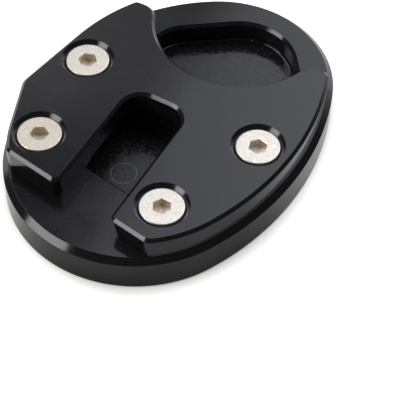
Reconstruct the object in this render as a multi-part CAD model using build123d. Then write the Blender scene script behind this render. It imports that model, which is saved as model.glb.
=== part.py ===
from build123d import *
import math
import os

# Kickstand foot enlarger: a thick aluminium base plate with a pocket for the stand's own foot,
# a clamp plate that closes over the foot with a slot for the stand's leg, and four countersunk
# socket screws that pull the two plates together.
# Frame: origin under the middle of the base plate, +Z up, +Y from the slot's mouth to the pocket's end.

# Base plate outline, seen from above: front and back arcs on one axis, joined by side arcs
AXIS_X = 0.65
FRONT_RADIUS = 33.1
FRONT_CENTRE_Y = -15.1
BACK_RADIUS = 29.1
BACK_CENTRE_Y = 19.1
RIGHT_SIDE_RADIUS = 73.0
LEFT_SIDE_X = -35.7
LEFT_SIDE_RADIUS = 50.0
LEFT_FLANK_TURN = 29.8
LEFT_CORNER_RADIUS = 6.0

# Base plate section
BASE_THICKNESS = 10.0
BASE_CHAMFER = 1.5
BASE_EDGE_BREAK = 0.4

# Foot pocket in the base plate's top face
POCKET_DEPTH = 6.0
POCKET_AXIS_X = 1.4
POCKET_FRONT_Y = -25.6
POCKET_FRONT_WIDTH = 22.0
POCKET_BACK_WIDTH = 47.4
POCKET_NOSE_Y = 40.4
POCKET_NOSE_RADIUS = 14.3
POCKET_SHOULDER_RADIUS = 10.0
POCKET_FRONT_RADIUS = 3.0
POCKET_CHAMFER = 0.8
POCKET_FLOOR_RADIUS = 0.5

# Clamp plate
CLAMP_THICKNESS = 6.0
CLAMP_CHAMFER = 0.8
CLAMP_FRONT_Y = -37.8
CRESCENT_RADIUS = 22.4
CRESCENT_CENTRE = (-4.0, 33.0)
HORN_LINE_POINT = (-2.0, 27.8)
HORN_LINE_TILT = 11.0
HORN_INNER_RADIUS = 5.0
HORN_OUTER_RADIUS = 1.8
ARM_INNER_RADIUS = 2.0
ARM_OUTER_RADIUS = 3.0

# Leg slot in the clamp plate
SLOT_WIDTH = 16.2
SLOT_TILT = 8.9
SLOT_END = (-2.6, -1.6)
SLOT_END_RADIUS = 5.5

# Countersunk socket screws: the place of each, and the way its socket has come to rest
SCREW_DIAMETER = 6.0
SCREW_LENGTH = 12.0
SCREW_TIP_CHAMFER = 0.6
HEAD_DIAMETER = 11.1
HEAD_LAND = 0.65
HEAD_RECESS = 0.6
SOCKET_ACROSS_FLATS = 4.0
SOCKET_DEPTH = 2.4
SCREWS = (
    ((-26.3, -2.1), 27.0),
    ((-19.1, -28.4), 43.0),
    ((25.0, 2.0), 42.0),
    ((18.5, -27.1), 5.0),
)

# Fits
THREAD_CLEARANCE = 0.05
SHANK_CLEARANCE = 0.3
TAPPED_HOLE_CHAMFER = 0.6

# Heights that follow from the sizes above
BASE_TOP = BASE_THICKNESS
CLAMP_TOP = BASE_TOP + CLAMP_THICKNESS
HEAD_TOP = CLAMP_TOP - HEAD_RECESS
HEAD_RADIUS = HEAD_DIAMETER / 2
SHANK_RADIUS = SCREW_DIAMETER / 2
CONE_TOP = HEAD_TOP - HEAD_LAND
CONE_FOOT = CONE_TOP - (HEAD_RADIUS - SHANK_RADIUS)


def top_edges(solid):
    """Edges round the highest flat face."""
    return solid.faces().sort_by(Axis.Z)[-1].edges()


def round_corner(face, corner, radius):
    """Round the one corner of a plan face that lies nearest a point."""
    return fillet(face.vertices().sort_by_distance(corner)[0], radius)


def right_side_centre():
    """Centre of the right side arc, which encloses the front and back arcs and touches both."""
    front_reach = RIGHT_SIDE_RADIUS - FRONT_RADIUS
    back_reach = RIGHT_SIDE_RADIUS - BACK_RADIUS
    spacing = BACK_CENTRE_Y - FRONT_CENTRE_Y
    along = (front_reach**2 - back_reach**2 + spacing**2) / (2 * spacing)
    across = math.sqrt(front_reach**2 - along**2)
    return Vector(AXIS_X - across, FRONT_CENTRE_Y + along)


def left_side_centre():
    """Centre of the left side arc, which touches the straight left side and the back arc."""
    across = LEFT_SIDE_X + LEFT_SIDE_RADIUS - AXIS_X
    along = math.sqrt((LEFT_SIDE_RADIUS - BACK_RADIUS) ** 2 - across**2)
    return Vector(AXIS_X + across, BACK_CENTRE_Y - along)


def base_outline():
    """Base plate from above: round front and back, bowed right side, straight left side and flank."""
    front = Vector(AXIS_X, FRONT_CENTRE_Y)
    back = Vector(AXIS_X, BACK_CENTRE_Y)
    right = right_side_centre()
    left = left_side_centre()

    right_front = front + (front - right).normalized() * FRONT_RADIUS
    right_back = back + (back - right).normalized() * BACK_RADIUS
    right_middle = right + Vector(RIGHT_SIDE_RADIUS, 0)
    left_back = back + (back - left).normalized() * BACK_RADIUS
    left_front = Vector(LEFT_SIDE_X, left.Y)
    left_middle = left + (left_back + left_front - left * 2).normalized() * LEFT_SIDE_RADIUS

    flank_end = front + Vector(-FRONT_RADIUS, 0).rotate(Axis.Z, LEFT_FLANK_TURN)
    flank_rise = (flank_end.X - LEFT_SIDE_X) / math.tan(math.radians(LEFT_FLANK_TURN))
    corner = Vector(LEFT_SIDE_X, flank_end.Y + flank_rise)

    outline = [
        ThreePointArc(flank_end, front - Vector(0, FRONT_RADIUS), right_front),
        ThreePointArc(right_front, right_middle, right_back),
        ThreePointArc(right_back, back + Vector(0, BACK_RADIUS), left_back),
        ThreePointArc(left_back, left_middle, left_front),
        Line(left_front, corner),
        Line(corner, flank_end),
    ]
    return round_corner(make_face(outline), corner, LEFT_CORNER_RADIUS)


def pocket_outline():
    """Foot pocket from above: straight front, widening sides, rounded shoulders and a round nose."""
    nose_point = Vector(POCKET_AXIS_X, POCKET_NOSE_Y + POCKET_NOSE_RADIUS * (math.sqrt(2) - 1))
    front_half = Vector(POCKET_FRONT_WIDTH / 2, 0)
    back_half = Vector(POCKET_BACK_WIDTH / 2, 0)
    front_middle = Vector(POCKET_AXIS_X, POCKET_FRONT_Y)
    back_middle = nose_point - Vector(0, POCKET_BACK_WIDTH / 2)
    corners = {
        front_middle - front_half: POCKET_FRONT_RADIUS,
        front_middle + front_half: POCKET_FRONT_RADIUS,
        back_middle + back_half: POCKET_SHOULDER_RADIUS,
        nose_point: POCKET_NOSE_RADIUS,
        back_middle - back_half: POCKET_SHOULDER_RADIUS,
    }
    face = make_face(Polyline(*corners, close=True))
    for corner, radius in corners.items():
        face = round_corner(face, corner, radius)
    return face


def slot_outline():
    """Leg slot from above, running out past the front of the clamp plate."""
    reach = SLOT_END[1] - CLAMP_FRONT_Y + SLOT_WIDTH
    blank = Rectangle(SLOT_WIDTH, reach, align=(Align.CENTER, Align.MAX))
    blank = fillet(blank.vertices().group_by(Axis.Y)[-1], SLOT_END_RADIUS)
    return Pos(*SLOT_END) * Rot(0, 0, SLOT_TILT) * blank


def crescent_outline():
    """Cut behind the clamp plate: a round bay running out, with eased corners, past the line the horns end on."""
    far = FRONT_RADIUS + BACK_RADIUS
    beyond_horns = Rectangle(2 * far, far, align=(Align.CENTER, Align.MIN))
    beyond_horns = Pos(*HORN_LINE_POINT) * Rot(0, 0, HORN_LINE_TILT) * beyond_horns
    bay = Pos(*CRESCENT_CENTRE) * Rot(0, 0, 90) * Circle(CRESCENT_RADIUS)
    cut = beyond_horns + bay
    horn_corners = cut.vertices().sort_by_distance(CRESCENT_CENTRE)[:2]
    return fillet(horn_corners, HORN_INNER_RADIUS)


def clamp_outline():
    """Clamp plate from above: the base's flat top, cut by the crescent, a straight front and the slot."""
    far = FRONT_RADIUS + BACK_RADIUS
    front_cut = Pos(AXIS_X, CLAMP_FRONT_Y) * Rectangle(2 * far, far, align=(Align.CENTER, Align.MAX))
    horned = offset(base_outline(), -BASE_CHAMFER) - crescent_outline()
    horned = offset(offset(horned, -HORN_OUTER_RADIUS), HORN_OUTER_RADIUS)
    face = (horned - front_cut - slot_outline()).face()

    left_outer, left_inner, right_inner, right_outer = face.vertices().group_by(Axis.Y)[0].sort_by(Axis.X)
    outer_corners = [left_outer.center(), right_outer.center()]
    face = fillet([left_inner, right_inner], ARM_INNER_RADIUS)
    for corner in outer_corners:
        face = round_corner(face, corner, ARM_OUTER_RADIUS)
    return face


def at_each_screw(tool):
    """Copies of one tool, one on each screw's axis."""
    return [Pos(*place) * tool for place, _ in SCREWS]


def make_base_plate():
    """Base plate: chamfered rim, foot pocket, tapped holes and a broken lower edge."""
    plate = extrude(base_outline(), BASE_THICKNESS)
    plate = chamfer(top_edges(plate), BASE_CHAMFER)
    plate = chamfer(plate.faces().sort_by(Axis.Z)[0].edges(), BASE_EDGE_BREAK)

    floor = BASE_TOP - POCKET_DEPTH
    pocket = extrude(pocket_outline(), POCKET_DEPTH)
    pocket = fillet(pocket.faces().sort_by(Axis.Z)[0].edges(), POCKET_FLOOR_RADIUS)
    plate -= Pos(0, 0, floor) * pocket
    rim = plate.faces().sort_by(Axis.Z)[-1].inner_wires()[0]
    plate = chamfer(rim.edges(), POCKET_CHAMFER)

    hole_radius = SHANK_RADIUS + THREAD_CLEARANCE
    lead_in = Cone(
        hole_radius + TAPPED_HOLE_CHAMFER,
        hole_radius,
        TAPPED_HOLE_CHAMFER,
        align=(Align.CENTER, Align.CENTER, Align.MIN),
    )
    hole = Cylinder(hole_radius, BASE_THICKNESS, align=(Align.CENTER, Align.CENTER, Align.MIN))
    plate -= at_each_screw(hole + lead_in)
    return plate.solid()


def make_clamp_plate():
    """Clamp plate: chamfered all round its top edge, with a countersunk hole for each screw."""
    plate = Pos(0, 0, BASE_TOP) * extrude(clamp_outline(), CLAMP_THICKNESS)
    plate = chamfer(top_edges(plate), CLAMP_CHAMFER)

    hole_radius = SHANK_RADIUS + SHANK_CLEARANCE
    mouth_radius = HEAD_RADIUS + CLAMP_TOP - CONE_TOP
    profile = Polyline(
        (0, BASE_TOP),
        (hole_radius, BASE_TOP),
        (hole_radius, CONE_FOOT + SHANK_CLEARANCE),
        (mouth_radius, CLAMP_TOP),
        (0, CLAMP_TOP),
        close=True,
    )
    countersunk_hole = revolve(make_face(Plane.XZ * profile), Axis.Z)
    plate -= at_each_screw(countersunk_hole)
    return plate.solid()


def make_screw(place, turn):
    """Countersunk screw with a hexagon socket, seated in the clamp plate."""
    tip = HEAD_TOP - SCREW_LENGTH
    profile = Polyline(
        (0, tip),
        (SHANK_RADIUS - SCREW_TIP_CHAMFER, tip),
        (SHANK_RADIUS, tip + SCREW_TIP_CHAMFER),
        (SHANK_RADIUS, CONE_FOOT),
        (HEAD_RADIUS, CONE_TOP),
        (HEAD_RADIUS, HEAD_TOP),
        (0, HEAD_TOP),
        close=True,
    )
    screw = revolve(make_face(Plane.XZ * profile), Axis.Z)
    hexagon = Rot(0, 0, turn) * RegularPolygon(SOCKET_ACROSS_FLATS / 2, 6, major_radius=False)
    screw -= Pos(0, 0, HEAD_TOP - SOCKET_DEPTH) * extrude(hexagon, SOCKET_DEPTH)
    return Pos(*place) * screw.solid()


def main():
    os.makedirs("parts", exist_ok=True)
    export_step(make_base_plate(), "parts/base_plate.step")
    export_step(make_clamp_plate(), "parts/clamp_plate.step")
    screws = [make_screw(place, turn) for place, turn in SCREWS]
    export_step(Compound(children=screws), "parts/clamp_screws.step")


if __name__ == "__main__":
    main()
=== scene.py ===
import math

import bmesh
import bpy
from bpy.props import FloatProperty, FloatVectorProperty, IntProperty, PointerProperty
from mathutils import Matrix, Quaternion, Vector


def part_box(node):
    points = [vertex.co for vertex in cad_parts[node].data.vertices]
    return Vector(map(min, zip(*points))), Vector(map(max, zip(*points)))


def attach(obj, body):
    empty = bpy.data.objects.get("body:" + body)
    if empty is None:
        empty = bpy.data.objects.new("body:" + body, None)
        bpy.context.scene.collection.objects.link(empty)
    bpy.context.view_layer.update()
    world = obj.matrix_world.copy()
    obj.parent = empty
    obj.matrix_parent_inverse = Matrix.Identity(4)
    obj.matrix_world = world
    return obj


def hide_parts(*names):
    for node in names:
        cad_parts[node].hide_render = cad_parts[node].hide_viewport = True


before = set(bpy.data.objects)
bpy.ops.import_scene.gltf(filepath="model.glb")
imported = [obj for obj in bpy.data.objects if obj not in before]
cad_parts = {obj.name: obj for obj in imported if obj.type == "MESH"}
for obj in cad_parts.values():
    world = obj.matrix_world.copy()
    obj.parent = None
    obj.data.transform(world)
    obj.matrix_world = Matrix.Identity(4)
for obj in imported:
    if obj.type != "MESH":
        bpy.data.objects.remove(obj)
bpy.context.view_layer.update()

bl_info = {
    "name": "Kickstand Foot Enlarger",
    "version": (1, 0, 0),
    "blender": (4, 5, 0),
    "location": "View3D > Sidebar > Foot Enlarger",
    "description": "Dresses the plates and screws of a clamp-on kickstand foot and sets a studio round them",
    "category": "Object",
}

# Lengths below are in millimetres, or in metres where MM or a comment says so, and angles are in degrees
MM = 0.001
WHITE = (1.0, 1.0, 1.0)
FALLING = (1.0, 0.0)

# Points of a mesh that are closer than this, in metres, are merged
SCREW_MERGE = 1e-7
PLATE_MERGE = 1e-6
# Edges that turn by this angle or more, in radians, are shaded as creases
CREASE = math.radians(28)

# Plan places of the four screws, and how far each hexagon socket is turned
SCREW_PLACES = (
    ((-26.3, -2.1), 27.0),
    ((-19.1, -28.4), 40.0),
    ((25.0, 2.0), 54.0),
    ((18.5, -27.1), 8.0),
)
# A socket is sunk with a flat facing X, and its turn above is that of a corner
CORNER_TO_FLAT = 30.0
# Angle that one flat of a hexagon takes up, in radians
HEXAGON_SIDE = math.radians(60)

# Smaller sizes of a screw: plain neck, tip, eased socket edge and the point under the socket
PLAIN_NECK = 1.0 * MM
TIP_CHAMFER = 0.6 * MM
SOCKET_EASE = 0.05 * MM
SOCKET_POINT = 0.5 * MM
# Depth of the thread as a share of its pitch
THREAD_DEPTH = 0.54
# Ring that keeps the head's top flat, in rim roundings from its edge, and facets of that rounding
RIM_INSET = 2.2
RIM_STEPS = 5

# Plan place where the slot's right-hand wall would meet the clamp plate's front wall if it weren't rounded
MOUTH_CORNER = (11.267, -37.8)
# How far the slot is turned from the part's length
SLOT_TILT = 8.9

# Round tool marks on the pocket floor: plan centre, radius and how strongly each shows
TOOL_RINGS = (
    ((-1.28, -18.03), 3.25, 1.0),
    ((1.0, -12.84), 3.25, 0.22),
)
# Half width of a tool mark's line, where it is full and where it has gone
RING_LINE = (0.07, 0.20)

# Where the finish of the base plate changes: heights of the pocket floor, then plan ranges
POCKET_FLOOR_FROM = (3.0, 3.6)
POCKET_FLOOR_TO = (4.2, 4.6)
BACK_OF_POCKET_Y = (-2.0, 8.0)
FRONT_Y = (-27.0, -25.5)
# Over this range the front fades to the left: painted shade in its light crests, with fainter lines in the
# bump and less smoothing
FRONT_FADE_X = (-12.0, 0.0)
# Painted shade: the front's light crests are left out of a strip beside the slot's left-hand wall; its edge
# as X once the tilt is undone, and Y of its end
SHADED_STRIP_X = (-7.95, -7.15)
SHADED_STRIP_END_Y = (-42.0, -40.5)
# Where painted shade darkens the screws on the left, the front one most
SHADED_SCREWS_X = (-12.0, -8.0)
SHADED_SCREWS_Y = (-18.0, -12.0)
# Depth under the head's top over which a socket's own colour comes in
SOCKET_COLOUR_DEPTH = (0.5, 0.2)

# Noises of the finishes: size of a blotch, then detail and roughness
CLOUDS = (9.0, 3.0)
FINE_GRAIN = (0.18, 3.0, 0.6)
SPECKLE = (0.45, 2.0, 0.6)
MOTTLE = (1.0, 3.0, 0.65)
MILLING_PATCHES = (6.0,)
RING_BREAKS = (1.5, 3.0)
STIPPLE = (0.37, 3.0, 0.7)
STAIN = (2.6, 3.0)
# Levels of those noises between which each mark comes in
CLOUDS_IN = (0.3, 0.7)
SPECKLE_IN = (0.38, 0.66)
MOTTLE_IN = (0.35, 0.68)
RING_BREAKS_IN = (0.25, 0.6)
STIPPLE_IN = (0.40, 0.66)
STIPPLE_ROUGH_IN = (0.3, 0.7)
SOCKET_STIPPLE_IN = (0.4, 0.6)
STAIN_IN = (0.3, 0.75)
# How far up or down a face has to point to count as flat, or to stop counting as a wall
FLAT_LIFT = (0.93, 0.98)
WALL_LIFT = (0.10, 0.25)
# Milling lines: turn of the passes, levels where their crests come in, and pitch of those round the walls
MILLING_TURN = -38.0
CREST_IN = (0.85, 1.25)
WALL_PITCH = 0.45
# Length in metres of one wave of the wave texture at scale one
WAVE_LENGTH = 0.1 * math.pi
# Dust: distance between specks, share of the places left bare, size as a share of the distance, strength
DUST_SPACING = 5.0
DUST_RARITY = 0.76
DUST_SIZE = (0.014, 0.036)
DUST_STRENGTH = (0.35, 1.0)

# Roughness of the screws and of the anodise, and what is added to the anodise's or taken off it
SCREW_ROUGHNESS = (0.46, 0.58)
ANODISE_ROUGHNESS = (0.105, 0.14)
BASE_CHAMFER_ROUGHER = -0.01
CLAMP_CHAMFER_ROUGHER = 0.06
MOTTLE_ROUGHER = 0.20
DUST_ROUGHER = 0.5
BACK_OF_POCKET_SMOOTHER = 0.045
FRONT_SMOOTHER = 0.015
# Refraction of the oxide on each plate
BASE_IOR = 1.55
CLAMP_IOR = 1.6
# Heights of the marks in the bump, against one another
GRAIN_HEIGHT = 0.5
WALL_PASS_HEIGHT = 0.9
MOTTLE_HEIGHT = 1.6
RING_HEIGHT = 6.0
LINE_HEIGHT = 0.25
FRONT_LINE_HEIGHT = 0.9
CLAMP_LINE_HEIGHT = 0.2

# Colours of the finishes, and shares by which a colour is changed
LIGHTER_SHARE = (1.6, 1.6, 1.6)
SPECKLE_COLOUR = (0.0145, 0.0145, 0.0155)
MOTTLE_COLOUR = (0.024, 0.0235, 0.024)
BASE_CREST_COLOUR = (0.046, 0.045, 0.049)
CLAMP_CREST_COLOUR = (0.036, 0.035, 0.039)
RING_COLOUR = (0.16, 0.16, 0.165)
SHEEN_TINT = (0.87, 0.89, 1.0)
WARM_SHARE = (0.93, 0.90, 0.86)
WORN_SHARE = (0.78, 0.74, 0.68)
# Painted shade on the left-hand screws
PAINTED_SHADE_SHARE = (0.85, 0.805, 0.75)
STIPPLE_SHARE = (0.83, 0.81, 0.78)
RIM_COLOUR = (0.97, 0.965, 0.95)
# How far those colours come through, with two ends where that changes from place to place
MOTTLE_STRENGTH = 0.5
# The front's strength at its left and its right end: the low end is painted shade in the crests, with
# fainter lines and less smoothing
FRONT_STRENGTH = (0.1, 1.0)
RING_STRENGTH = 0.9
UNBROKEN_RING = (0.35, 1.0)
CLAMP_CREST_STRENGTH = 0.16
STAIN_STRENGTH = 0.45
# Painted shade on the left-hand screws: on the front one, then on the back one
PAINTED_SHADE_STRENGTH = (0.9, 0.4)
RIM_STRENGTH = 0.8
# How much smoother the rims of the screws are than their tops
RIM_SMOOTHER = 0.2

# Soft panels: direction from the object, then distance and size in metres
WINDOW = {"azimuth": -121.5, "elevation": 28.5, "distance": 1.2, "width": 0.66, "height": 0.50}
WINDOW_TINT = (1.0, 0.965, 0.88)
OVERHEAD = {"azimuth": 83.0, "elevation": 58.0, "distance": 1.3, "width": 1.41, "height": 1.15, "roll": 9.0}
SIDE = {"azimuth": 178.0, "elevation": 52.0, "distance": 1.3, "width": 0.5, "height": 0.5}

# Light of the room: compass ranges and height ranges over which its parts come and go
BACK_RISE = (58.0, 78.0)
BACK_FALL = (138.5, 142.0)
BACK_TOP = (47.7, 48.6)
NEAR_GROUND = (36.0, 41.0)
BESIDE = (126.0, 130.0)
LEFT_RISE = (131.5, 135.5)
MIDDLE_RISE = (60.0, 85.0)
MIDDLE_FALL = (112.0, 134.0)
# Brightness of those parts
BACK_LEVEL = 0.40
ABOVE_BACK_SHARE = 0.10
LEFT_SHARE = 1.8
MIDDLE_LEVEL = 0.56
ROOM_LEVEL = 0.072

# Floor: half its width in metres, and how far it lies under the part
FLOOR_REACH = 20.0
FLOOR_DROP = 0.02 * MM
# Rays shorter than this start on the part where it stands, and pass through the floor
TOUCHING = 0.1 * MM
# Reach of the painted contact shadow in the floor's glow, to the camera and in the part's walls
SEEN_SHADOW_REACH = 4 * MM
MIRRORED_SHADOW_REACH = 9 * MM
# Brightness of the floor's glow in each, a painted shadow to the camera and a painted reflection in the
# walls: direction along which it changes, where it does, and its two levels
SEEN_ALONG = (0.866, -0.5, 0.0)
SEEN_FALL = (20.0, 45.0)
SEEN_LEVELS = (1.0, 0.78)
MIRRORED_ALONG = (0.707, -0.707, 0.0)
MIRRORED_FALL = (13.0, 40.0)
MIRRORED_LEVELS = (0.64, 0.03)

# Camera: place in metres, direction of its right-hand side over the ground, height angle and roll
CAMERA_PLACE = (0.15247, -0.18913, 0.28301)
CAMERA_RIGHT = (0.80256, 0.59652)
CAMERA_LIFT = 51.90
CAMERA_ROLL = 1.8035
SENSOR_WIDTH = 36.0


class PlateSettings(bpy.types.PropertyGroup):
    """Finish of the base plate and the clamp plate."""

    anodise_colour: FloatVectorProperty(
        name="Anodise Colour",
        description="Dyed oxide layer on both plates",
        subtype="COLOR",
        size=3,
        default=(0.0042, 0.0042, 0.0050),
        min=0.0,
        max=1.0,
    )
    dust_colour: FloatVectorProperty(
        name="Dust Colour",
        description="Specks of pale dust on the plates",
        subtype="COLOR",
        size=3,
        default=(0.30, 0.29, 0.28),
        min=0.0,
        max=1.0,
    )
    milling_pitch: FloatProperty(
        name="Milling Pitch",
        description="Distance between the fine lines that the milling cutter leaves",
        subtype="DISTANCE",
        unit="LENGTH",
        default=0.51 * MM,
        min=0.05 * MM,
    )
    edge_round: FloatProperty(
        name="Edge Rounding",
        description="Radius to which tumbling and anodising soften every machined edge",
        subtype="DISTANCE",
        unit="LENGTH",
        default=0.12 * MM,
        min=0.0,
    )


class ClampSettings(bpy.types.PropertyGroup):
    """Shape of the clamp plate's tapered mouth corner."""

    corner_reach: FloatProperty(
        name="Corner Reach",
        description="How far the rounding of the slot's mouth corner reaches along its walls",
        subtype="DISTANCE",
        unit="LENGTH",
        default=1.8 * MM,
        min=0.0,
    )
    corner_taper: FloatProperty(
        name="Corner Taper",
        description="How many times wider that rounding is at the bottom than at the top",
        default=2.0,
        min=1.0,
    )


class ScrewSettings(bpy.types.PropertyGroup):
    """Sizes and finish of the countersunk screws."""

    head_diameter: FloatProperty(
        name="Head Diameter",
        description="Across the flat top of the head",
        subtype="DISTANCE",
        unit="LENGTH",
        default=11.1 * MM,
    )
    head_top: FloatProperty(
        name="Head Top",
        description="Height of the flat top of the head above the ground",
        subtype="DISTANCE",
        unit="LENGTH",
        default=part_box("clamp_screws")[1][2],
    )
    head_land: FloatProperty(
        name="Head Land",
        description="Height of the straight band under the rim of the head",
        subtype="DISTANCE",
        unit="LENGTH",
        default=0.65 * MM,
    )
    rim_round: FloatProperty(
        name="Rim Rounding",
        description="Radius of the rim of the head",
        subtype="DISTANCE",
        unit="LENGTH",
        default=0.28 * MM,
    )
    shank_diameter: FloatProperty(
        name="Shank Diameter",
        description="Outside diameter of the thread",
        subtype="DISTANCE",
        unit="LENGTH",
        default=6.0 * MM,
    )
    thread_pitch: FloatProperty(
        name="Thread Pitch",
        description="Distance from one thread crest to the next",
        subtype="DISTANCE",
        unit="LENGTH",
        default=1.0 * MM,
    )
    length: FloatProperty(
        name="Length",
        description="From the top of the head to the tip",
        subtype="DISTANCE",
        unit="LENGTH",
        default=12.0 * MM,
    )
    socket_across_flats: FloatProperty(
        name="Socket Across Flats",
        description="Width of the hexagon socket, with its worn edge",
        subtype="DISTANCE",
        unit="LENGTH",
        default=4.15 * MM,
    )
    socket_depth: FloatProperty(
        name="Socket Depth",
        description="Depth of the hexagon socket's straight walls",
        subtype="DISTANCE",
        unit="LENGTH",
        default=2.2 * MM,
    )
    segments: IntProperty(
        name="Segments",
        description="Facets round each screw, a multiple of twelve",
        default=72,
        min=24,
    )
    steel_colour: FloatVectorProperty(
        name="Steel Colour",
        description="Pale plating on the screws",
        subtype="COLOR",
        size=3,
        default=(0.97, 0.955, 0.925),
        min=0.0,
        max=1.0,
    )
    socket_colour: FloatVectorProperty(
        name="Socket Colour",
        description="Darker, unbroken plating inside the sockets",
        subtype="COLOR",
        size=3,
        default=(0.96, 0.88, 0.79),
        min=0.0,
        max=1.0,
    )


class StageSettings(bpy.types.PropertyGroup):
    """Studio: floor, lamps and camera."""

    floor_colour: FloatVectorProperty(
        name="Floor Colour",
        description="Plain pale floor",
        subtype="COLOR",
        size=3,
        default=(0.82, 0.82, 0.82),
        min=0.0,
        max=1.0,
    )
    window_level: FloatProperty(
        name="Window Level",
        description="Brightness of the soft window in front of and to the left of the object",
        default=5.6,
        min=0.0,
    )
    overhead_level: FloatProperty(
        name="Overhead Level",
        description="Brightness of the large overhead panel that the flat faces mirror",
        default=1.06,
        min=0.0,
    )
    side_level: FloatProperty(
        name="Side Level",
        description="Brightness of the smaller panel on the left, which lights the floor beside the object",
        default=3.6,
        min=0.0,
    )
    lens: FloatProperty(
        name="Lens",
        description="Focal length on a 36 mm wide sensor",
        subtype="DISTANCE_CAMERA",
        unit="CAMERA",
        default=124.97,
        min=1.0,
    )


def settings(name):
    """The property group of that name on the scene."""
    return getattr(bpy.context.scene, "foot_" + name)


def in_mm(span):
    """A pair of millimetres in metres."""
    return tuple(value * MM for value in span)


def in_radians(span):
    """A pair of degrees in radians."""
    return tuple(math.radians(value) for value in span)


def rises(span):
    """How far up a direction of length one points, for a pair of height angles in degrees."""
    return tuple(math.sin(math.radians(value)) for value in span)


def opaque(colour, share=WHITE):
    """A colour with full alpha, each channel multiplied by its share."""
    return tuple(part * channel for part, channel in zip(share, colour)) + (1.0,)


def new_material(name):
    """An empty node material with its output, ready for a surface."""
    material = bpy.data.materials.new(name)
    material.use_nodes = True
    tree = material.node_tree
    tree.nodes.clear()
    output = tree.nodes.new("ShaderNodeOutputMaterial")
    return material, tree, output


def new_group(name, inputs, outputs):
    """A shader node group with float and vector sockets, and its input and output nodes."""
    kinds = {"value": "NodeSocketFloat", "vector": "NodeSocketVector"}
    tree = bpy.data.node_groups.new(name, "ShaderNodeTree")
    for label, kind in inputs:
        tree.interface.new_socket(label, in_out="INPUT", socket_type=kinds[kind])
    for label, kind in outputs:
        tree.interface.new_socket(label, in_out="OUTPUT", socket_type=kinds[kind])
    return tree, tree.nodes.new("NodeGroupInput"), tree.nodes.new("NodeGroupOutput")


def feed(tree, socket, value):
    """Link a node's output into a socket, or set the socket's own value."""
    if isinstance(value, bpy.types.NodeSocket):
        tree.links.new(value, socket)
    else:
        socket.default_value = value


def math_node(tree, operation, a, b=0.0, clamp=False):
    """Output of a Math node."""
    node = tree.nodes.new("ShaderNodeMath")
    node.operation = operation
    node.use_clamp = clamp
    feed(tree, node.inputs[0], a)
    feed(tree, node.inputs[1], b)
    return node.outputs[0]


def times(tree, a, b):
    """Product of two values."""
    return math_node(tree, "MULTIPLY", a, b)


def plus(tree, a, b):
    """Sum of two values."""
    return math_node(tree, "ADD", a, b)


def minus(tree, a, b, clamp=False):
    """First value less the second."""
    return math_node(tree, "SUBTRACT", a, b, clamp)


def larger(tree, a, b):
    """The larger of two values."""
    return math_node(tree, "MAXIMUM", a, b)


def between(tree, value, span, ends=(0.0, 1.0)):
    """Value carried smoothly from a span to two ends, and held at them."""
    node = tree.nodes.new("ShaderNodeMapRange")
    node.interpolation_type = "SMOOTHSTEP"
    feed(tree, node.inputs["Value"], value)
    node.inputs["From Min"].default_value = span[0]
    node.inputs["From Max"].default_value = span[1]
    node.inputs["To Min"].default_value = ends[0]
    node.inputs["To Max"].default_value = ends[1]
    return node.outputs["Result"]


def along(tree, vector, direction):
    """How far a place lies along a direction."""
    node = tree.nodes.new("ShaderNodeVectorMath")
    node.operation = "DOT_PRODUCT"
    tree.links.new(vector, node.inputs[0])
    node.inputs[1].default_value = direction
    return node.outputs["Value"]


def parts_of(tree, vector):
    """The X, Y and Z of a vector, by name."""
    node = tree.nodes.new("ShaderNodeSeparateXYZ")
    tree.links.new(vector, node.inputs["Vector"])
    return node.outputs


def mix_colour(tree, factor, a, b, blend="MIX"):
    """Colour mixed from a to b, or b laid over a in another way."""
    node = tree.nodes.new("ShaderNodeMix")
    node.data_type = "RGBA"
    node.blend_type = blend
    feed(tree, node.inputs["Factor"], factor)
    feed(tree, node.inputs["A"], a)
    feed(tree, node.inputs["B"], b)
    return node.outputs["Result"]


def noise(tree, vector, size, detail=2.0, roughness=0.5):
    """Noise whose blotches are about that size, in millimetres."""
    node = tree.nodes.new("ShaderNodeTexNoise")
    tree.links.new(vector, node.inputs["Vector"])
    node.inputs["Scale"].default_value = 1.0 / (size * MM)
    node.inputs["Detail"].default_value = detail
    node.inputs["Roughness"].default_value = roughness
    return node.outputs["Fac"]


def place_group(tree, group, values):
    """A node group in a tree, with its inputs fed by name."""
    node = tree.nodes.new("ShaderNodeGroup")
    node.node_tree = group
    for label, value in values.items():
        feed(tree, node.inputs[label], value)
    return node.outputs


def milling_group():
    """Fine lines left by the cutter in two crossing passes."""
    name = "Milling Lines"
    if name in bpy.data.node_groups:
        return bpy.data.node_groups[name]
    inputs = [("Vector", "vector"), ("Pitch", "value"), ("Turn", "value")]
    tree, source, target = new_group(name, inputs, [("Height", "value")])
    scale = math_node(tree, "DIVIDE", WAVE_LENGTH, source.outputs["Pitch"])
    passes = []
    for turn in (-math.pi / 4, math.pi / 4):
        turned = tree.nodes.new("ShaderNodeVectorRotate")
        turned.rotation_type = "Z_AXIS"
        tree.links.new(source.outputs["Vector"], turned.inputs["Vector"])
        feed(tree, turned.inputs["Angle"], plus(tree, source.outputs["Turn"], turn))
        wave = tree.nodes.new("ShaderNodeTexWave")
        wave.wave_type = "BANDS"
        wave.bands_direction = "X"
        wave.inputs["Distortion"].default_value = 0.6
        wave.inputs["Detail"].default_value = 1.0
        tree.links.new(turned.outputs["Vector"], wave.inputs["Vector"])
        tree.links.new(scale, wave.inputs["Scale"])
        passes.append(wave.outputs["Fac"])
    patchy = noise(tree, source.outputs["Vector"], *MILLING_PATCHES)
    feed(tree, target.inputs["Height"], plus(tree, passes[0], times(tree, passes[1], patchy)))
    return tree


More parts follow.
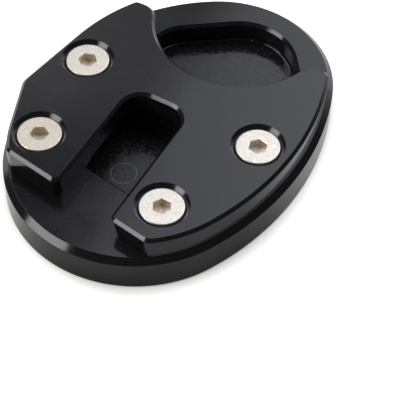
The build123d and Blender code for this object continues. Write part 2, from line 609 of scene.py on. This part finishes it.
def dust_group():
    """Sparse, tiny round specks."""
    name = "Dust Specks"
    if name in bpy.data.node_groups:
        return bpy.data.node_groups[name]
    inputs = [("Vector", "vector"), ("Spacing", "value"), ("Rarity", "value")]
    tree, source, target = new_group(name, inputs, [("Mask", "value")])
    cells = tree.nodes.new("ShaderNodeTexVoronoi")
    cells.feature = "F1"
    tree.links.new(source.outputs["Vector"], cells.inputs["Vector"])
    feed(tree, cells.inputs["Scale"], math_node(tree, "DIVIDE", 1.0, source.outputs["Spacing"]))
    chance = tree.nodes.new("ShaderNodeSeparateColor")
    tree.links.new(cells.outputs["Color"], chance.inputs["Color"])
    chosen = math_node(tree, "GREATER_THAN", chance.outputs["Red"], source.outputs["Rarity"])
    size = between(tree, chance.outputs["Green"], (0.0, 1.0), DUST_SIZE)
    speck = math_node(tree, "LESS_THAN", cells.outputs["Distance"], size)
    strength = between(tree, chance.outputs["Blue"], (0.0, 1.0), DUST_STRENGTH)
    feed(tree, target.inputs["Mask"], times(tree, times(tree, chosen, speck), strength))
    return tree


def faces_group():
    """Which kind of machined face a point is on, told from the way it faces."""
    name = "Machined Faces"
    if name in bpy.data.node_groups:
        return bpy.data.node_groups[name]
    tree, _, target = new_group(name, [], [("Flat", "value"), ("Chamfer", "value"), ("Wall", "value")])
    facing = parts_of(tree, tree.nodes.new("ShaderNodeTexCoord").outputs["Normal"])
    lift = math_node(tree, "ABSOLUTE", facing["Z"])
    flat = between(tree, lift, FLAT_LIFT)
    wall = between(tree, lift, WALL_LIFT, FALLING)
    chamfer = minus(tree, minus(tree, 1.0, flat), wall, clamp=True)
    feed(tree, target.inputs["Flat"], flat)
    feed(tree, target.inputs["Wall"], wall)
    feed(tree, target.inputs["Chamfer"], chamfer)
    return tree


def rings_group():
    """Thin round marks on a floor, where a cutter was set down."""
    name = "Tool Rings"
    if name in bpy.data.node_groups:
        return bpy.data.node_groups[name]
    tree, source, target = new_group(name, [("Vector", "vector")], [("Mask", "value")])
    place = parts_of(tree, source.outputs["Vector"])
    broken = noise(tree, source.outputs["Vector"], *RING_BREAKS)
    broken = between(tree, broken, RING_BREAKS_IN, UNBROKEN_RING)
    rings = 0.0
    for (x, y), radius, strength in TOOL_RINGS:
        across = minus(tree, place["X"], x * MM)
        ahead = minus(tree, place["Y"], y * MM)
        squares = plus(tree, math_node(tree, "POWER", across, 2.0), math_node(tree, "POWER", ahead, 2.0))
        off = minus(tree, math_node(tree, "SQRT", squares), radius * MM)
        line = between(tree, math_node(tree, "ABSOLUTE", off), in_mm(RING_LINE), (strength, 0.0))
        rings = larger(tree, rings, line)
    feed(tree, target.inputs["Mask"], times(tree, rings, broken))
    return tree


def pocketed_finish(tree, vector, flat, lines, colour, rough, height):
    """Hatch on the base plate's front, and the mottled pocket floor with its tool marks."""
    place = parts_of(tree, vector)
    floor = between(tree, place["Z"], in_mm(POCKET_FLOOR_TO), FALLING)
    floor = times(tree, floor, between(tree, place["Z"], in_mm(POCKET_FLOOR_FROM)))
    floor = times(tree, floor, flat)
    front = times(tree, between(tree, place["Y"], in_mm(FRONT_Y), FALLING), flat)
    # Painted shade: the front's light crests fade towards the left, where its lines are also fainter and
    # less smoothed
    front = times(tree, front, between(tree, place["X"], in_mm(FRONT_FADE_X), FRONT_STRENGTH))
    rings = times(tree, place_group(tree, rings_group(), {"Vector": vector})["Mask"], floor)
    mottled = times(tree, floor, between(tree, noise(tree, vector, *MOTTLE), MOTTLE_IN))

    # Painted shade: no light crests on the strip beside the slot's left-hand wall
    slanted = plus(tree, place["X"], times(tree, place["Y"], math.tan(math.radians(SLOT_TILT))))
    clear = between(tree, slanted, in_mm(SHADED_STRIP_X))
    beyond = between(tree, place["Y"], in_mm(SHADED_STRIP_END_Y), FALLING)
    crests = times(tree, front, between(tree, lines, CREST_IN))
    crests = times(tree, crests, larger(tree, clear, beyond))

    colour = mix_colour(tree, times(tree, mottled, MOTTLE_STRENGTH), colour, opaque(MOTTLE_COLOUR))
    colour = mix_colour(tree, crests, colour, opaque(BASE_CREST_COLOUR))
    colour = mix_colour(tree, times(tree, rings, RING_STRENGTH), colour, opaque(RING_COLOUR))

    back = times(tree, floor, between(tree, place["Y"], in_mm(BACK_OF_POCKET_Y)))
    smoother = larger(tree, times(tree, back, BACK_OF_POCKET_SMOOTHER), times(tree, front, FRONT_SMOOTHER))
    rough = minus(tree, rough, smoother)
    rough = plus(tree, rough, times(tree, mottled, MOTTLE_ROUGHER))

    strong = plus(tree, times(tree, front, FRONT_LINE_HEIGHT), LINE_HEIGHT)
    height = plus(tree, height, times(tree, mottled, MOTTLE_HEIGHT))
    height = plus(tree, height, times(tree, rings, RING_HEIGHT))
    height = plus(tree, height, times(tree, lines, strong))
    return colour, rough, height


def anodise_material(name, pocketed):
    """Satin-gloss black anodise over milled faces; the pocketed plate also has its floor and tool marks."""
    look = settings("plates")
    material, tree, output = new_material(name)
    vector = tree.nodes.new("ShaderNodeTexCoord").outputs["Object"]
    faces = place_group(tree, faces_group(), {})
    milling = {"Vector": vector, "Pitch": look.milling_pitch, "Turn": math.radians(MILLING_TURN)}
    lines = place_group(tree, milling_group(), milling)["Height"]
    dusting = {"Vector": vector, "Spacing": DUST_SPACING * MM, "Rarity": DUST_RARITY}
    dust = times(tree, place_group(tree, dust_group(), dusting)["Mask"], faces["Flat"])

    clouds = noise(tree, vector, *CLOUDS)
    lighter = opaque(look.anodise_colour, LIGHTER_SHARE)
    colour = mix_colour(tree, between(tree, clouds, CLOUDS_IN), opaque(look.anodise_colour), lighter)
    speckle = between(tree, noise(tree, vector, *SPECKLE), SPECKLE_IN)
    colour = mix_colour(tree, speckle, colour, opaque(SPECKLE_COLOUR))
    rough = between(tree, clouds, CLOUDS_IN, ANODISE_ROUGHNESS)
    rougher = BASE_CHAMFER_ROUGHER if pocketed else CLAMP_CHAMFER_ROUGHER
    rough = plus(tree, rough, times(tree, faces["Chamfer"], rougher))

    passes = tree.nodes.new("ShaderNodeTexWave")
    passes.bands_direction = "Z"
    passes.inputs["Scale"].default_value = WAVE_LENGTH / (WALL_PITCH * MM)
    passes.inputs["Distortion"].default_value = 0.8
    tree.links.new(vector, passes.inputs["Vector"])
    walls = times(tree, passes.outputs["Fac"], faces["Wall"])
    height = times(tree, noise(tree, vector, *FINE_GRAIN), GRAIN_HEIGHT)
    height = plus(tree, height, times(tree, walls, WALL_PASS_HEIGHT))

    if pocketed:
        colour, rough, height = pocketed_finish(tree, vector, faces["Flat"], lines, colour, rough, height)
    else:
        crests = between(tree, lines, CREST_IN, (0.0, CLAMP_CREST_STRENGTH))
        crests = times(tree, faces["Flat"], crests)
        colour = mix_colour(tree, crests, colour, opaque(CLAMP_CREST_COLOUR))
        height = plus(tree, height, times(tree, lines, CLAMP_LINE_HEIGHT))
    colour = mix_colour(tree, dust, colour, opaque(look.dust_colour))
    rough = math_node(tree, "ADD", rough, times(tree, dust, DUST_ROUGHER), clamp=True)

    soft_edge = tree.nodes.new("ShaderNodeBevel")
    soft_edge.samples = 8
    soft_edge.inputs["Radius"].default_value = look.edge_round
    bump = tree.nodes.new("ShaderNodeBump")
    bump.inputs["Strength"].default_value = 0.35
    bump.inputs["Distance"].default_value = 0.002 * MM
    tree.links.new(height, bump.inputs["Height"])
    tree.links.new(soft_edge.outputs["Normal"], bump.inputs["Normal"])

    surface = tree.nodes.new("ShaderNodeBsdfPrincipled")
    surface.inputs["IOR"].default_value = BASE_IOR if pocketed else CLAMP_IOR
    surface.inputs["Specular Tint"].default_value = opaque(SHEEN_TINT)
    tree.links.new(colour, surface.inputs["Base Color"])
    tree.links.new(rough, surface.inputs["Roughness"])
    tree.links.new(bump.outputs["Normal"], surface.inputs["Normal"])
    tree.links.new(surface.outputs["BSDF"], output.inputs["Surface"])
    return material


def screw_material():
    """Pale plated steel: finely stippled flat heads, brighter rims, brownish sockets."""
    look = settings("screws")
    material, tree, output = new_material("Plated screw steel")
    vector = tree.nodes.new("ShaderNodeTexCoord").outputs["Object"]
    place = parts_of(tree, vector)
    stipple = noise(tree, vector, *STIPPLE)
    stain = between(tree, noise(tree, vector, *STAIN), STAIN_IN, (0.0, STAIN_STRENGTH))
    sunk = tuple(look.head_top - depth for depth in in_mm(SOCKET_COLOUR_DEPTH))
    socket = between(tree, place["Z"], sunk, FALLING)
    rim = minus(tree, 1.0, place_group(tree, faces_group(), {})["Flat"])
    rim = minus(tree, rim, socket, clamp=True)

    colour = mix_colour(tree, stain, opaque(look.steel_colour), opaque(look.steel_colour, WARM_SHARE))
    # Painted shade: the left-hand screws are darker, the front one most
    painted_shade = between(tree, place["Y"], in_mm(SHADED_SCREWS_Y), PAINTED_SHADE_STRENGTH)
    painted_shade = times(tree, between(tree, place["X"], in_mm(SHADED_SCREWS_X), FALLING), painted_shade)
    colour = mix_colour(tree, painted_shade, colour, opaque(PAINTED_SHADE_SHARE), "MULTIPLY")
    dents = between(tree, stipple, STIPPLE_IN)
    colour = mix_colour(tree, dents, colour, opaque(STIPPLE_SHARE), "MULTIPLY")
    worn = opaque(look.socket_colour, WORN_SHARE)
    wear = between(tree, stipple, SOCKET_STIPPLE_IN)
    inside = mix_colour(tree, wear, opaque(look.socket_colour), worn)
    colour = mix_colour(tree, socket, colour, inside)
    colour = mix_colour(tree, times(tree, rim, RIM_STRENGTH), colour, opaque(RIM_COLOUR))
    rough = between(tree, stipple, STIPPLE_ROUGH_IN, SCREW_ROUGHNESS)
    rough = minus(tree, rough, times(tree, rim, RIM_SMOOTHER))

    bump = tree.nodes.new("ShaderNodeBump")
    bump.inputs["Strength"].default_value = 0.5
    bump.inputs["Distance"].default_value = 0.03 * MM
    tree.links.new(stipple, bump.inputs["Height"])

    surface = tree.nodes.new("ShaderNodeBsdfPrincipled")
    surface.inputs["Metallic"].default_value = 1.0
    tree.links.new(colour, surface.inputs["Base Color"])
    tree.links.new(rough, surface.inputs["Roughness"])
    tree.links.new(bump.outputs["Normal"], surface.inputs["Normal"])
    tree.links.new(surface.outputs["BSDF"], output.inputs["Surface"])
    return material


def linked_object(name, data):
    """An object in the scene for a mesh, a lamp or a camera."""
    thing = bpy.data.objects.new(name, data)
    bpy.context.scene.collection.objects.link(thing)
    return thing


def finished_object(name, mesh, material):
    """Put a bmesh into the scene as a piece that rides on the part's body."""
    data = bpy.data.meshes.new(name)
    mesh.to_mesh(data)
    mesh.free()
    data.materials.append(material)
    piece = linked_object(name, data)
    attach(piece, "root")
    return piece


def spin_profile(mesh, profile, segments):
    """Spin a profile of (radius, height) points all the way round Z, and close its seam and its pole."""
    chain = [mesh.verts.new((radius, 0.0, height)) for radius, height in profile]
    edges = [mesh.edges.new(pair) for pair in zip(chain, chain[1:])]
    bmesh.ops.spin(
        mesh,
        geom=chain + edges,
        cent=(0, 0, 0),
        axis=(0, 0, 1),
        angle=2 * math.pi,
        steps=segments,
        use_merge=True,
    )
    bmesh.ops.remove_doubles(mesh, verts=mesh.verts, dist=SCREW_MERGE)


def soften(mesh):
    """Shade a mesh smoothly, with a crease along each sharp edge."""
    for face in mesh.faces:
        face.smooth = True
    for edge in mesh.edges:
        edge.smooth = edge.calc_face_angle(0.0) < CREASE


class FOOT_OT_finish_base(bpy.types.Operator):
    """Give the base plate its black anodise, over pocket and tool marks"""

    bl_idname = "foot_enlarger.finish_base"
    bl_label = "Finish Base"

    def execute(self, context):
        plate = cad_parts["base_plate"]
        plate.data.materials.clear()
        plate.data.materials.append(anodise_material("base plate anodise", True))
        return {"FINISHED"}


class FOOT_OT_taper_clamp(bpy.types.Operator):
    """Copy the clamp plate with its slot's mouth corner tapered towards the bottom"""

    bl_idname = "foot_enlarger.taper_clamp"
    bl_label = "Taper Clamp"

    def execute(self, context):
        shape = settings("clamp")
        mesh = bmesh.new()
        mesh.from_mesh(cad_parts["clamp_plate"].data)
        bmesh.ops.remove_doubles(mesh, verts=mesh.verts, dist=PLATE_MERGE)
        bottom = min(vert.co.z for vert in mesh.verts)
        corner = Vector((*in_mm(MOUTH_CORNER), bottom))
        rounding = [vert for vert in mesh.verts if (vert.co - corner).length < shape.corner_reach]
        if not rounding:
            raise RuntimeError("The clamp plate has no corner at the mouth of its slot")
        wider = (shape.corner_taper, shape.corner_taper, 1.0)
        bmesh.ops.scale(mesh, vec=wider, space=Matrix.Translation(-corner), verts=rounding)
        soften(mesh)
        anodise = anodise_material("clamp plate anodise", False)
        piece = finished_object("tapered_clamp", mesh, anodise)
        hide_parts("clamp_plate")
        # The normals that come with the CAD mesh belong to its loose triangles
        stale = piece.data.attributes.get("custom_normal")
        if stale:
            piece.data.attributes.remove(stale)
        evened = piece.modifiers.new("Even flats", "WEIGHTED_NORMAL")
        evened.keep_sharp = True
        return {"FINISHED"}


class FOOT_OT_turn_screws(bpy.types.Operator):
    """Model the countersunk screws with rounded rims, hexagon sockets and threads"""

    bl_idname = "foot_enlarger.turn_screws"
    bl_label = "Turn Screws"

    def profile(self, size):
        """Half section of a screw from the socket's mouth out over the rim and down to the tip."""
        top = size.head_top
        head = size.head_diameter / 2
        shank = size.shank_diameter / 2
        rim = size.rim_round
        points = [(size.socket_across_flats / 2, top), (head - RIM_INSET * rim, top)]
        for step in range(RIM_STEPS + 1):
            turn = math.radians(90 * (1 - step / RIM_STEPS))
            points.append((head - rim + rim * math.cos(turn), top - rim + rim * math.sin(turn)))
        cone_top = top - size.head_land
        cone_foot = cone_top - (head - shank)
        points += [(head, cone_top), (shank, cone_foot)]
        crest = cone_foot - PLAIN_NECK
        tip = top - size.length
        core = shank - THREAD_DEPTH * size.thread_pitch
        while crest - size.thread_pitch > tip + TIP_CHAMFER:
            points.append((shank, crest))
            points.append((core, crest - size.thread_pitch / 2))
            crest -= size.thread_pitch
        points += [(shank, crest), (shank - TIP_CHAMFER, tip), (0.0, tip)]
        return points

    def sink_socket(self, mesh, size):
        """Sink the hexagon socket from the open ring at the middle of the head."""
        half = size.socket_across_flats / 2
        floor = size.head_top - size.socket_depth
        steps = (
            (half + SOCKET_EASE, size.head_top),
            (half, size.head_top - SOCKET_EASE),
            (half, floor),
            (0.0, floor - SOCKET_POINT),
        )
        ring = [edge for edge in mesh.edges if edge.is_boundary]
        for index, (apart, depth) in enumerate(steps):
            if index:
                made = bmesh.ops.extrude_edge_only(mesh, edges=ring)["geom"]
                ring = [g for g in made if isinstance(g, bmesh.types.BMEdge) and g.is_boundary]
            for vert in {vert for edge in ring for vert in edge.verts}:
                angle = math.atan2(vert.co.y, vert.co.x)
                aside = (angle + HEXAGON_SIDE / 2) % HEXAGON_SIDE - HEXAGON_SIDE / 2
                reach = apart / math.cos(aside)
                vert.co = (reach * math.cos(angle), reach * math.sin(angle), depth)
        bmesh.ops.remove_doubles(mesh, verts=mesh.verts, dist=SCREW_MERGE)

    def execute(self, context):
        size = settings("screws")
        screw = bmesh.new()
        spin_profile(screw, self.profile(size), size.segments)
        self.sink_socket(screw, size)
        bmesh.ops.recalc_face_normals(screw, faces=screw.faces)
        soften(screw)
        one = bpy.data.meshes.new("one screw")
        screw.to_mesh(one)
        screw.free()

        every = bmesh.new()
        for place, turn in SCREW_PLACES:
            kept = set(every.verts)
            every.from_mesh(one)
            fresh = [vert for vert in every.verts if vert not in kept]
            turned = Matrix.Rotation(math.radians(turn - CORNER_TO_FLAT), 4, "Z")
            seat = Matrix.Translation((*in_mm(place), 0.0)) @ turned
            bmesh.ops.transform(every, matrix=seat, verts=fresh)
        bpy.data.meshes.remove(one)
        piece = finished_object("plated_screws", every, screw_material())
        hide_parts("clamp_screws")
        return {"FINISHED"}


class FOOT_OT_set_stage(bpy.types.Operator):
    """Set the floor, the lamps, the surroundings and the camera"""

    bl_idname = "foot_enlarger.set_stage"
    bl_label = "Set Stage"

    def looked_at(self, path):
        """One for rays from the camera, straight or through a clear surface, and nought for others."""
        return larger(path.id_data, path.outputs["Is Camera Ray"], path.outputs["Is Transmission Ray"])

    def contact_shadow(self, tree, reach):
        """How open the floor is to the light within a distance, which paints a contact shadow into its glow.
        """
        contact = tree.nodes.new("ShaderNodeAmbientOcclusion")
        contact.samples = 16
        contact.inputs["Distance"].default_value = reach
        return contact.outputs["AO"]

    def floor_material(self, look):
        """White to the camera with a painted shadow round the part, a dimmer glow in the part's walls as
        painted reflection, and nothing at all from below.
        """
        material, tree, output = new_material("Pale floor")
        surface = tree.nodes.new("ShaderNodeBsdfPrincipled")
        surface.inputs["Base Color"].default_value = opaque(look.floor_colour)
        surface.inputs["Roughness"].default_value = 0.9
        surface.inputs["Specular IOR Level"].default_value = 0.1
        surface.inputs["Emission Color"].default_value = opaque(WHITE)
        path = tree.nodes.new("ShaderNodeLightPath")
        vector = tree.nodes.new("ShaderNodeTexCoord").outputs["Object"]
        # Painted shadow: the glow to the camera fades towards the front right and in the contact shadow
        # round the part
        glow_with_painted_shadow = between(tree, along(tree, vector, SEEN_ALONG), in_mm(SEEN_FALL), SEEN_LEVELS)
        glow_with_painted_shadow = times(tree, glow_with_painted_shadow, self.contact_shadow(tree, SEEN_SHADOW_REACH))
        seen = times(tree, self.looked_at(path), glow_with_painted_shadow)
        # Painted reflection: the floor glows to reflected rays, dimmer towards the front right and round the
        # part's foot
        painted_reflection_fade = between(tree, along(tree, vector, MIRRORED_ALONG), in_mm(MIRRORED_FALL), MIRRORED_LEVELS)
        painted_reflection = times(tree, path.outputs["Is Glossy Ray"], painted_reflection_fade)
        painted_reflection = times(tree, painted_reflection, self.contact_shadow(tree, MIRRORED_SHADOW_REACH))
        tree.links.new(plus(tree, seen, painted_reflection), surface.inputs["Emission Strength"])

        below = tree.nodes.new("ShaderNodeNewGeometry").outputs["Backfacing"]
        touching = math_node(tree, "LESS_THAN", path.outputs["Ray Length"], TOUCHING)
        clear = tree.nodes.new("ShaderNodeBsdfTransparent")
        layered = tree.nodes.new("ShaderNodeMixShader")
        feed(tree, layered.inputs["Fac"], larger(tree, below, touching))
        tree.links.new(surface.outputs["BSDF"], layered.inputs[1])
        tree.links.new(clear.outputs["BSDF"], layered.inputs[2])
        tree.links.new(layered.outputs["Shader"], output.inputs["Surface"])
        return material

    def lay_floor(self, look):
        """Pale floor that keeps the object's shadow."""
        mesh = bmesh.new()
        sunk = Matrix.Translation((0.0, 0.0, -FLOOR_DROP))
        bmesh.ops.create_grid(mesh, x_segments=1, y_segments=1, size=FLOOR_REACH, matrix=sunk)
        data = bpy.data.meshes.new("floor")
        mesh.to_mesh(data)
        mesh.free()
        data.materials.append(self.floor_material(look))
        floor = linked_object("floor", data)

    def hang_panel(self, name, level, azimuth, elevation, distance, width, height, roll=0.0, colour=WHITE):
        """Soft panel at a direction from the object, as bright as its level seen in a mirror."""
        lamp = bpy.data.lights.new(name, "AREA")
        lamp.shape = "RECTANGLE"
        lamp.size = width
        lamp.size_y = height
        lamp.energy = level * math.pi * width * height
        lamp.color = colour
        panel = linked_object(name, lamp)
        turn = math.radians(azimuth)
        lift = math.radians(elevation)
        way = Vector((math.cos(lift) * math.cos(turn), math.cos(lift) * math.sin(turn), math.sin(lift)))
        panel.location = way * distance
        facing = way.to_track_quat("Z", "Y") @ Quaternion((0, 0, 1), math.radians(roll))
        panel.rotation_euler = facing.to_euler()

    def paint_surroundings(self):
        """Dim room, dark behind the camera and lighter behind the object."""
        world = bpy.data.worlds.new("Studio surroundings")
        bpy.context.scene.world = world
        world.use_nodes = True
        tree = world.node_tree
        tree.nodes.clear()
        output = tree.nodes.new("ShaderNodeOutputWorld")
        way = parts_of(tree, tree.nodes.new("ShaderNodeTexCoord").outputs["Generated"])
        compass = math_node(tree, "ARCTAN2", way["Y"], way["X"])
        back = between(tree, compass, in_radians(BACK_RISE))
        back = times(tree, back, between(tree, compass, in_radians(BACK_FALL), FALLING))
        beside = between(tree, compass, in_radians(BESIDE))
        near_ground = between(tree, way["Z"], rises(NEAR_GROUND), FALLING)
        back = times(tree, back, larger(tree, beside, near_ground))
        back = times(tree, back, between(tree, compass, in_radians(LEFT_RISE), (1.0, LEFT_SHARE)))
        back = times(tree, back, between(tree, way["Z"], rises(BACK_TOP), (1.0, ABOVE_BACK_SHARE)))
        middle = between(tree, compass, in_radians(MIDDLE_RISE))
        middle = times(tree, middle, between(tree, compass, in_radians(MIDDLE_FALL), FALLING))
        level = plus(tree, times(tree, back, BACK_LEVEL), times(tree, middle, MIDDLE_LEVEL))
        level = plus(tree, level, ROOM_LEVEL)
        level = larger(tree, level, self.looked_at(tree.nodes.new("ShaderNodeLightPath")))
        room = tree.nodes.new("ShaderNodeBackground")
        room.inputs["Color"].default_value = opaque(WHITE)
        tree.links.new(level, room.inputs["Strength"])
        tree.links.new(room.outputs["Background"], output.inputs["Surface"])

    def place_camera(self, look):
        """Camera where the photograph was taken from."""
        data = bpy.data.cameras.new("camera")
        data.lens = look.lens
        data.sensor_fit = "HORIZONTAL"
        data.sensor_width = SENSOR_WIDTH
        data.clip_start = 0.01
        camera = linked_object("camera", data)
        lift = math.radians(CAMERA_LIFT)
        roll = math.radians(CAMERA_ROLL)
        level = Vector((*CAMERA_RIGHT, 0.0))
        away = Vector((-level.y, level.x, 0.0))
        upright = away * math.sin(lift) + Vector((0, 0, math.cos(lift)))
        right = level * math.cos(roll) + upright * math.sin(roll)
        up = upright * math.cos(roll) - level * math.sin(roll)
        turn = Matrix((right, up, right.cross(up))).transposed().to_4x4()
        camera.matrix_world = Matrix.Translation(CAMERA_PLACE) @ turn
        bpy.context.scene.camera = camera

    def execute(self, context):
        look = settings("stage")
        self.lay_floor(look)
        self.hang_panel("window", look.window_level, colour=WINDOW_TINT, **WINDOW)
        self.hang_panel("overhead", look.overhead_level, **OVERHEAD)
        self.hang_panel("side", look.side_level, **SIDE)
        self.paint_surroundings()
        self.place_camera(look)
        context.scene.view_settings.view_transform = "Standard"
        return {"FINISHED"}


class FOOT_PT_panel(bpy.types.Panel):
    """Steps and settings of the foot enlarger"""

    bl_idname = "FOOT_PT_panel"
    bl_label = "Foot Enlarger"
    bl_space_type = "VIEW_3D"
    bl_region_type = "UI"
    bl_category = "Foot Enlarger"

    def draw(self, context):
        layout = self.layout
        for name, step in STEPS.items():
            box = layout.box()
            box.operator(step.bl_idname)
            group = settings(name)
            for prop in group.bl_rna.properties:
                if not prop.is_readonly and prop.identifier != "name":
                    box.prop(group, prop.identifier)


STEPS = {
    "plates": FOOT_OT_finish_base,
    "clamp": FOOT_OT_taper_clamp,
    "screws": FOOT_OT_turn_screws,
    "stage": FOOT_OT_set_stage,
}
GROUPS = {
    "plates": PlateSettings,
    "clamp": ClampSettings,
    "screws": ScrewSettings,
    "stage": StageSettings,
}
CLASSES = (*GROUPS.values(), *STEPS.values(), FOOT_PT_panel)


def register():
    for cls in CLASSES:
        bpy.utils.register_class(cls)
    for name, group in GROUPS.items():
        setattr(bpy.types.Scene, "foot_" + name, PointerProperty(type=group))


def unregister():
    for name in GROUPS:
        delattr(bpy.types.Scene, "foot_" + name)
    for cls in reversed(CLASSES):
        bpy.utils.unregister_class(cls)


def main():
    register()
    bpy.ops.foot_enlarger.finish_base()
    bpy.ops.foot_enlarger.taper_clamp()
    bpy.ops.foot_enlarger.turn_screws()
    bpy.ops.foot_enlarger.set_stage()


if __name__ == "__main__":
    main()
